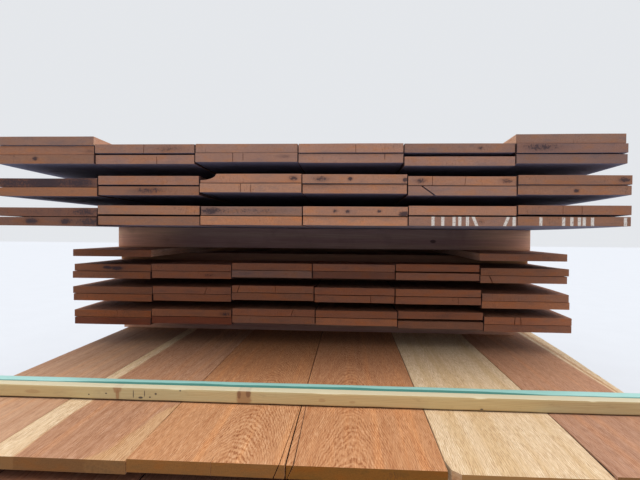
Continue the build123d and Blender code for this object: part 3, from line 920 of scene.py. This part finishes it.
def group_looks(node, place, board, rng, settings):
    """What one board of the two groups looks like: tints, its place in the log, splits and stains."""
    flaws = FLAWS.get(node, {}).get(place, ())
    # The lower group's end colour holds painted shade as well as the wood's own colour.
    end = tuple(settings.upper_end if node.startswith("upper") else settings.lower_end_with_shade)
    tone = TONES[END_TONES[node].split()[place]]
    looks = {
        "columns": 44, "stations": 16, "rows": 7, "dense": 0.93,
        "splits": [flaw for flaw in flaws if "gap" in flaw],
        "blots": [flaw for flaw in flaws if "dark" in flaw],
        "face": jitter(settings.heart, rng, 0.16),
        "end": jitter(np.multiply(end, tone), rng, 0.08),
        "pith": any_pith(rng),
        "growth": (0.5, 0.05 * (rng.random() - 0.5), 1.0 if "side" in node else 0.05),
        "shift": 40 * rng.random(),
    }
    if (node, place) == SCOOPED:
        looks["scoop"] = {"width": 46 * MM, "depth": 18 * MM, "run": 420 * MM}
        looks["extra"] = np.linspace(2.0, 50.0, 17) * MM
    return looks


# How far the pale outer wood (1) and the golden wood beside it (0.5) show, by the share across and the
# distance along a board of the top course.


def two_bands(u, along):
    """Cream left of one wavering line, and gold right of another that runs off the board."""
    ripple = 0.006 * np.sin(along * 23 + 1) + 0.004 * np.sin(along * 51)
    cream = np.interp(along, (0, 0.3, 0.42, 4.2), (0.222, 0.205, 0.13, 0.14)) + ripple
    gold = np.interp(along, (0, 0.02, 0.05, 0.15, 0.21, 0.28, 0.4), (0.67, 0.73, 0.79, 0.87, 0.88, 0.95, 1.2))
    return np.clip((cream - u) / 0.02 + 0.5, 0, 1) + 0.5 * np.clip((u - gold - 2 * ripple) / 0.09 + 0.5, 0, 1)


def all_pale(u, along):
    """One everywhere."""
    return np.ones_like(u)


def waney_edge(u, along):
    """One right of a straight line, with a stripe in it that is less pale."""
    return np.clip((u - 0.885) / 0.02, 0, 1) * (1.0 - 0.6 * np.exp(-((u - 0.935) / 0.012) ** 2))


# The top course's end colours are set darker than the pack's, a painted shade for the shadow on the pack's
# front, on top of their own colour. The far tints are painted shade on three boards and painted light on the
# last.
TOP_BOARDS = (
    {"face": (0.54, 0.315, 0.184), "far": (0.92, 0.92, 0.92), "end": (0.20, 0.082, 0.024),
     "pith": (-0.9, 0.20), "growth": (0.3, 0.02, 0.1)},
    {"face": (0.475, 0.248, 0.135), "end": (0.19, 0.080, 0.024), "pith": (1.9, 0.22),
     "growth": (0.85, 0.02, 0.1), "sap": two_bands},
    {"face": (0.57, 0.283, 0.13), "far": (0.79, 0.72, 0.68), "end": (0.24, 0.095, 0.022),
     "pith": (0.645, 0.04), "growth": (1.0, 0.145, 0.1)},
    {"face": (0.555, 0.265, 0.118), "far": (0.86, 0.84, 0.88), "end": (0.212, 0.076, 0.010),
     "pith": (0.40, 0.05), "growth": (0.95, 0.12, 0.1)},
    {"face": (0.66, 0.42, 0.21), "end": (0.27, 0.12, 0.035), "pith": (-1.2, 0.25),
     "growth": (0.65, 0.01, 0.1), "sap": all_pale},
    {"face": (0.455, 0.245, 0.148), "far": (1.2, 1.15, 1.05), "end": (0.23, 0.10, 0.03),
     "pith": (-0.8, 0.20), "growth": (0.65, 0.03, 0.1), "sap": waney_edge},
)


def top_looks(node, place, board, rng, settings):
    """What one board of the pack's top course looks like."""
    wide = (board["right"] - board["left"]) / MM
    looks = {
        "columns": 54, "stations": 100, "rows": 6, "dense": 0.55, "shift": 7.3 * place, "swell": 0.1 * MM,
        "wander": 0.5, "joint": (0.4, 10 * MM), **TOP_BOARDS[place],
    }
    if place == 0:
        looks["splits"] = [split(wide * 0.55, slant=2, depth=5, gap=1.2, run=30)]
    if place == 2:
        looks["splits"] = [split(wide - 15.5, slant=11, depth=26, gap=2.2, run=360, drift_by=10, groove=5),
                           split(wide * 0.54, depth=6, gap=1.0, run=20)]
    if place == 3:
        looks["splits"] = [split(8, slant=12, depth=26, gap=2.2, run=330, drift_by=-4, groove=5)]
    if place == 4:
        looks["chip"] = (np.array((0.0, 6.6, 22.0)) * MM, np.array((55.0, 16.5, 0.0)) * MM)
        looks["extra"] = np.linspace(1.1, 22.0, 14) * MM
    if place == 5:
        looks["extra"] = np.linspace(wide - 40, wide - 2, 16) * MM
    return looks


def hidden_looks(node, place, board, rng, settings):
    """What one board of the pack's under layers looks like: few faces, but the same wood."""
    return {
        "columns": 6, "stations": 10, "rows": 3, "dense": 0.6, "face": jitter(settings.heart, rng, 0.15),
        "end": jitter(settings.pack_end, rng, 0.15), "pith": any_pith(rng), "growth": (0.5, 0.0, 0.1),
        "shift": 40 * rng.random(),
    }


# Crossing timbers and straps


def solids_of(node):
    """Boxes of the separate solids of a node of crossing timbers: one for each line in Y and level in Z."""
    triangles = node_points(node)
    boxes = []
    for line in islands(triangles[:, :, 1]):
        for level in islands(triangles[line][:, :, 2]):
            points = triangles[line][level].reshape(-1, 3)
            boxes.append((points.min(0), points.max(0)))
    return boxes


def crosser_skin(box, rng, arris, counts, wear=0.6 * MM):
    """The skin of a squared timber lying across: a box of lattice points with eased arrises and slow waves
    inwards."""
    low, high = box
    ease = 0.3 * arris
    steps = [np.concatenate(([0, arris], np.linspace(arris, size - arris, count)[1:-1], [size - arris, size]))
             for size, count in zip(high - low, counts)]
    indices, quads = lattice(tuple(len(step) for step in steps))
    x, y, z = (step[index] for step, index in zip(steps, indices))
    end, flank, face = (inward(index, len(step)) for step, index in zip(steps, indices))
    y += ease * flank * (face != 0) + wear * flank * (0.5 + drift(x, rng, 0.5, (0.6, 1.7)))
    z += ease * face * (flank != 0)
    x += ease * end * ((flank != 0) | (face != 0))
    return {"points": low + np.stack((x, y, z), axis=-1), "quads": quads}


def batten_skin(box, rng):
    """A batten's skin, measured from its own underside, with the grain swung round its knots.

    The front arris has small chips, each a flat-bottomed dent, and its foot rises in slow waves that fade
    over its lower 12 mm. The rear batten is the front one turned round.
    """
    skin = crosser_skin(box, rng, 1.8 * MM, (260, 12, 8), wear=0.9 * MM)
    points = skin["points"]
    low, high = box
    facing = 1 if low[1] < 0 else -1
    middle = (low[1] + high[1]) / 2
    front = (middle - points[:, 1]) / (high[1] - low[1]) * facing + 0.5
    along = points[:, 0] * facing
    top = points[:, 2] > high[2] - 6 * MM
    chips = ((0.436, 14 * MM, 3.4 * MM), (-0.31, 22 * MM, 2.0 * MM), (0.07, 30 * MM, 1.4 * MM),
             (0.7, 9 * MM, 2.2 * MM))
    for at, wide, deep in chips:
        points[:, 2] -= deep * (np.exp(-((along - at) / wide) ** 4)
                                * np.clip((front - 0.9) / 0.1, 0, 1) * top)
    knots = [(at[0], size[0]) for at, size, kind in PINE_SPOTS if kind == "heart"]
    around = sum(0.5 * wide * np.exp(-((along - at) / (2.5 * wide)) ** 2) for at, wide in knots)
    skin["log"] = np.stack((along, points[:, 1] - middle, points[:, 2] - low[2]), axis=-1)
    foot = fading(points[:, 2] - low[2], 12 * MM) * np.clip((front - 0.89) / 0.11, 0, 1)
    points[:, 2] += foot * (3.4 * MM + drift(points[:, 0], rng, 0.8 * MM, (1.1, 3.7, 7.9)))
    skin["marks"] = np.stack((around, 0 * front, front), axis=-1)
    return skin


def strap_skin(node, rng):
    """A flat band carried round a closed path: a rounded oblong section along a rounded oblong loop.

    The path runs midway through the CAD band, with its corners as arcs: a straight run and the arc after it,
    four times, each turned a quarter on. The section is thinned at its edges, and the band strays sideways by
    slow waves. The rear strap is the front one turned round.
    """
    low, high = (np.array(corner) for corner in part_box(node))
    thick, bend, sway_reach, loop = 1.0 * MM, 3.5 * MM, 1.6 * MM, 6.0
    half = (high - low) / 2 - thick / 2
    centre = (low + high) / 2
    flats, outer = (half[0] - bend, half[2] - bend), (half[2], half[0])
    runs = (np.linspace(-1, 1, 220), np.linspace(-1, 1, 70))
    corner = np.linspace(0, np.pi / 2, 6)[1:-1]
    turned = np.stack((np.sin(corner), np.cos(corner)), axis=-1)
    path, out = [], []
    for turn in range(4):
        this, other = turn % 2, 1 - turn % 2
        along = runs[this] * flats[this]
        run = np.stack((along, np.full_like(along, outer[this])), axis=-1)
        arc = np.array((flats[this], flats[other])) + bend * turned
        normal = np.concatenate((np.tile((0.0, 1.0), (len(run), 1)), turned))
        angle = np.pi / 2 * turn
        spin = np.array(((np.cos(angle), np.sin(angle)), (-np.sin(angle), np.cos(angle))))
        path.append(np.concatenate((run, arc)) @ spin.T)
        out.append(normal @ spin.T)
    path, out = np.concatenate(path), np.concatenate(out)
    width = high[1] - low[1]
    shares = (0, 0.06, 0.3, 0.5, 0.7, 0.94, 1.0)
    across = np.array(shares + shares[-2:0:-1]) * width - width / 2
    lift = np.repeat((0, 0.5, 0, -0.5), (1, 5, 1, 5)) * thick * 0.9
    count, ring = len(path), len(across)
    x = centre[0] + path[:, None, 0] + out[:, None, 0] * lift[None]
    z = centre[2] + path[:, None, 1] + out[:, None, 1] * lift[None]
    sway = drift(np.linspace(0, 5, count), rng, sway_reach, (0.7, 1.3, 2.9))
    y = centre[1] + across[None] + sway[:, None]
    a, b = np.meshgrid(np.arange(count), np.arange(ring), indexing="ij")
    ahead, beside = (a + 1) % count, (b + 1) % ring
    quads = np.stack((a * ring + b, ahead * ring + b, ahead * ring + beside, a * ring + beside), axis=-1)
    share = np.broadcast_to((across / width + 0.5)[None], (count, ring)).ravel()
    if centre[1] > 0:
        share = 1 - share
    length = np.broadcast_to(np.linspace(0, loop, count)[:, None], (count, ring)).ravel()
    return {
        "points": np.stack((x, y, z), axis=-1).reshape(-1, 3),
        "quads": quads.reshape(-1, 4),
        "log": np.stack((length, share * width, 0 * share), axis=-1),
        "marks": np.stack((share, 0 * share, 0 * share), axis=-1),
    }


# Operators


def course_names(group, layers):
    """The names of a group's courses of boards, from the bottom up."""
    return [f"{group}_layer_{n}_{half}_boards" for n in range(1, layers + 1) for half in ("lower", "upper")]


def build_course(node, settings, looks_for, material, seed):
    """One course of boards as one piece, in place of its node, with painted shade on the sides between
    neighbours.
    """
    rng = np.random.default_rng(seed)
    boards = boards_of(node)
    skins = []
    for place, board in enumerate(boards):
        looks = looks_for(node, place, board, rng, settings)
        side_by_side = len(boards) > 2
        looks["joints"] = (side_by_side and place > 0, side_by_side and place < len(boards) - 1)
        skins.append(board_skin(board, rng, settings, looks))
    add_piece(node.replace("_boards", "_sawn_boards"), skins, material, (node,))


class STACK_OT_group_boards(bpy.types.Operator):
    """Lay the sawn boards of the upper and the lower group"""

    bl_idname = "stack.group_boards"
    bl_label = "Group boards"

    def execute(self, context):
        settings = context.scene.stack_boards
        plain = hardwood("hardwood_group", settings)
        marked = hardwood("hardwood_tallied", settings, TALLIED)
        for group in ("upper", "lower"):
            for seed, node in enumerate(course_names(group, 3) + [group + "_side_boards"], SEEDS[group]):
                build_course(node, settings, group_looks, marked if node == TALLIED else plain, seed)
        return {"FINISHED"}


class STACK_OT_top_course(bpy.types.Operator):
    """Lay the bottom pack's top course of six boards"""

    bl_idname = "stack.top_course"
    bl_label = "Pack top course"

    def execute(self, context):
        settings = context.scene.stack_boards
        wood = hardwood("hardwood_top_course", settings)
        build_course("pack_top_boards", settings, top_looks, wood, SEEDS["top"])
        return {"FINISHED"}


class STACK_OT_pack_layers(bpy.types.Operator):
    """Lay the bottom pack's under layers"""

    bl_idname = "stack.pack_layers"
    bl_label = "Pack under layers"

    def execute(self, context):
        settings = context.scene.stack_boards
        wood = hardwood("hardwood_pack", settings)
        for seed, node in enumerate(course_names("pack", 6), SEEDS["pack"]):
            build_course(node, settings, hidden_looks, wood, seed)
        return {"FINISHED"}


class STACK_OT_bearers(bpy.types.Operator):
    """Lay the bearers under the pack and under each group"""

    bl_idname = "stack.bearers"
    bl_label = "Bearers"

    def execute(self, context):
        knots = (((0.475, GROUP_BEND, 1.0225), (0.013, 0.10, 0.008)),)
        wood = timber("bearer_wood", tuple(context.scene.stack_timber.bearer), 0.86, knots)
        for seed, node in enumerate(("ground_bearers", "lower_bearers", "upper_bearers"), SEEDS["bearers"]):
            rng = np.random.default_rng(seed)
            skins = [crosser_skin(box, rng, arris=2 * MM, counts=(40, 5, 5)) for box in solids_of(node)]
            add_piece(node + "_timber", skins, wood, (node,))
        return {"FINISHED"}


class STACK_OT_sticks(bpy.types.Operator):
    """Lay the sticks between the layers"""

    bl_idname = "stack.sticks"
    bl_label = "Sticks"

    def execute(self, context):
        wood = timber("stick_wood", tuple(context.scene.stack_timber.stick), 0.75)
        nodes = [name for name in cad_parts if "_sticks_" in name]
        for seed, node in enumerate(sorted(nodes), SEEDS["sticks"]):
            rng = np.random.default_rng(seed)
            skins = [crosser_skin(box, rng, arris=0.8 * MM, counts=(24, 3, 3), wear=0.4 * MM)
                     for box in solids_of(node)]
            add_piece(node + "_sawn", skins, wood, (node,))
        return {"FINISHED"}


class STACK_OT_battens(bpy.types.Operator):
    """Lay the pine battens across the pack"""

    bl_idname = "stack.battens"
    bl_label = "Battens"

    def execute(self, context):
        wood = pine("batten_wood", context.scene.stack_timber)
        for seed, node in enumerate(("front_batten", "rear_batten"), SEEDS["battens"]):
            low, high = (np.array(corner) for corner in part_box(node))
            skin = batten_skin((low, high), np.random.default_rng(seed))
            add_piece(node + "_pine", [skin], wood, (node,))
        return {"FINISHED"}


class STACK_OT_straps(bpy.types.Operator):
    """Draw the plastic straps round the pack and its battens"""

    bl_idname = "stack.straps"
    bl_label = "Straps"

    def execute(self, context):
        plastic = strap_plastic("strap_band", context.scene.stack_strap)
        for seed, node in enumerate(("front_strap", "rear_strap"), SEEDS["straps"]):
            skin = strap_skin(node, np.random.default_rng(seed))
            add_piece(node + "_band", [skin], plastic, (node,))
        return {"FINISHED"}


def floor_material(colour):
    """Pale floor to the camera and in reflections, darker in the light that it throws back."""
    shade = Shade(bpy.data.materials.new("yard_floor"))
    path = shade.node("ShaderNodeLightPath").outputs
    seen = shade.maths("MAXIMUM", path["Is Camera Ray"],
                       shade.maths("MAXIMUM", path["Is Glossy Ray"], path["Is Transmission Ray"]))
    grain = shade.noise(shade.place(), 3.0, 3.0)
    pale = shade.mix(shade.ramp(grain, 0.3, 0.7, 0.0, 0.25), colour, [part * 0.94 for part in colour])
    return shade.finish(shade.mix(seen, (0.34, 0.39, 0.49), pale), 0.9, specular=0.1)


def overcast_sky(strength):
    """A world that is brighter overhead and dark below the horizon, and pale where the camera sees it."""
    world = bpy.data.worlds.new("overcast")
    sky = Shade(world)
    up = sky.parts(sky.node("ShaderNodeTexCoord").outputs["Generated"])[2]
    height = sky.node("ShaderNodeMapRange", i0=up, i1=-1.0)
    ramp = sky.node("ShaderNodeValToRGB", i0=height.outputs[0])
    bands = ramp.color_ramp.elements
    bands[0].position, bands[0].color = 0.48, (0.10, 0.10, 0.11, 1)
    bands[1].position, bands[1].color = 1.0, (1.50, 1.53, 1.60, 1)
    bands.new(0.53).color = (0.58, 0.62, 0.72, 1)
    light = sky.node("ShaderNodeBackground", i0=ramp.outputs[0], i1=strength)
    seen = sky.node("ShaderNodeBackground", i0=(0.78, 0.80, 0.83, 1))
    path = sky.node("ShaderNodeLightPath")
    mixed = sky.node("ShaderNodeMixShader", i0=path.outputs["Is Camera Ray"], i1=light.outputs[0],
                     i2=seen.outputs[0])
    sky.node("ShaderNodeOutputWorld", i0=mixed.outputs[0])
    return world


class STACK_OT_stage(bpy.types.Operator):
    """Set the floor, the light and the camera"""

    bl_idname = "stack.stage"
    bl_label = "Stage"

    def execute(self, context):
        settings = context.scene.stack_stage
        scene = context.scene
        scene.view_settings.view_transform = "Standard"
        scene.world = overcast_sky(settings.sky)

        reach = 40.0
        mesh = bpy.data.meshes.new("floor")
        mesh.from_pydata([(-reach, -reach, 0), (reach, -reach, 0), (reach, reach, 0), (-reach, reach, 0)], [],
                         [(0, 1, 2, 3)])
        mesh.materials.append(floor_material(tuple(settings.floor)))
        floor = bpy.data.objects.new("floor", mesh)
        scene.collection.objects.link(floor)

        lamp = bpy.data.lights.new("cloud_light", "SUN")
        lamp.energy = settings.sun
        lamp.angle = math.radians(50)
        sun = bpy.data.objects.new("cloud_light", lamp)
        sun.rotation_euler = Vector((0.0, 0.44, -0.9)).to_track_quat("-Z", "Y").to_euler()
        scene.collection.objects.link(sun)

        data = bpy.data.cameras.new("camera")
        data.lens = settings.lens
        data.sensor_width = 36.0
        camera = bpy.data.objects.new("camera", data)
        turn = Matrix.Rotation(settings.yaw, 4, "Z") @ Matrix.Rotation(math.pi / 2 - settings.pitch, 4, "X")
        camera.matrix_world = Matrix.Translation(settings.eye) @ turn @ Matrix.Rotation(settings.roll, 4, "Z")
        scene.collection.objects.link(camera)
        scene.camera = camera
        return {"FINISHED"}


class STACK_PT_panel(bpy.types.Panel):
    """Buttons for each part of the stack"""

    bl_idname = "STACK_PT_panel"
    bl_label = "Sawn board stack"
    bl_space_type = "VIEW_3D"
    bl_region_type = "UI"
    bl_category = "Stack"

    def draw(self, context):
        for operator in OPERATORS:
            self.layout.operator(operator.bl_idname)


OPERATORS = (
    STACK_OT_group_boards, STACK_OT_top_course, STACK_OT_pack_layers, STACK_OT_bearers, STACK_OT_sticks,
    STACK_OT_battens, STACK_OT_straps, STACK_OT_stage,
)
SETTINGS = {
    "stack_boards": BoardSettings, "stack_timber": TimberSettings, "stack_strap": StrapSettings,
    "stack_stage": StageSettings,
}


def register():
    """Adds the settings, operators and panel."""
    for name, group in SETTINGS.items():
        bpy.utils.register_class(group)
        setattr(bpy.types.Scene, name, bpy.props.PointerProperty(type=group))
    for operator in OPERATORS:
        bpy.utils.register_class(operator)
    bpy.utils.register_class(STACK_PT_panel)


def unregister():
    """Takes the settings, operators and panel away."""
    bpy.utils.unregister_class(STACK_PT_panel)
    for operator in reversed(OPERATORS):
        bpy.utils.unregister_class(operator)
    for name, group in reversed(SETTINGS.items()):
        delattr(bpy.types.Scene, name)
        bpy.utils.unregister_class(group)


def main():
    """Registers the add-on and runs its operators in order."""
    register()
    for operator in OPERATORS:
        module, name = operator.bl_idname.split(".")
        getattr(getattr(bpy.ops, module), name)()


if __name__ == "__main__":
    main()
